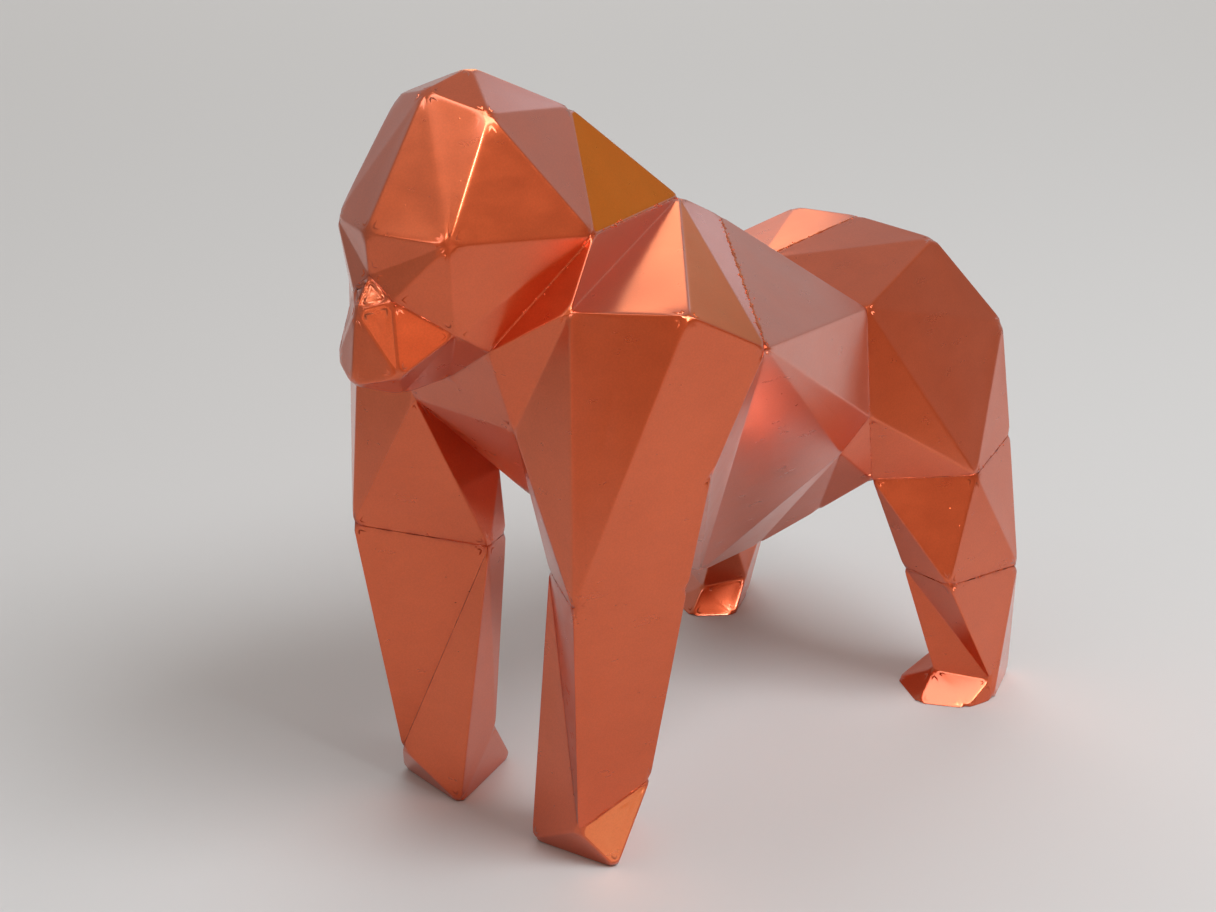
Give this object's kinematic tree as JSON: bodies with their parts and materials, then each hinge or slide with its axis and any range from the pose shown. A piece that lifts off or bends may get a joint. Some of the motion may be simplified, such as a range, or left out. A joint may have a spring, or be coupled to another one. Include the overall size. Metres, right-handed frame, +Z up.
{
  "type": "gorilla figurine",
  "caption": "Hollow gorilla figurine of scored and folded card, low-facet body standing on its hands and feet, painted satin copper.",
  "frame": {"origin": "on the ground, at the centre of the bounding box's footprint", "axes": "+Z up, the gorilla faces -Y, its left side is +X"},
  "size_m": [0.127, 0.2265, 0.2],
  "materials": {
    "painted_card": "satin metallic copper paint brushed over card, with a faint fleck"
  },
  "bodies": {
    "root": {"torso": "painted_card", "head": "painted_card", "muzzle": "painted_card", "chest_panel": "painted_card", "belly": "painted_card", "rump_left": "painted_card", "rump_right": "painted_card", "shoulder_arm_left": "painted_card", "shoulder_arm_right": "painted_card", "upper_arm_inner_left": "painted_card", "upper_arm_inner_right": "painted_card", "forearm_hand_left": "painted_card", "forearm_hand_right": "painted_card", "thigh_left": "painted_card", "thigh_right": "painted_card", "shin_foot_left": "painted_card", "shin_foot_right": "painted_card"}
  },
  "joints": []
}
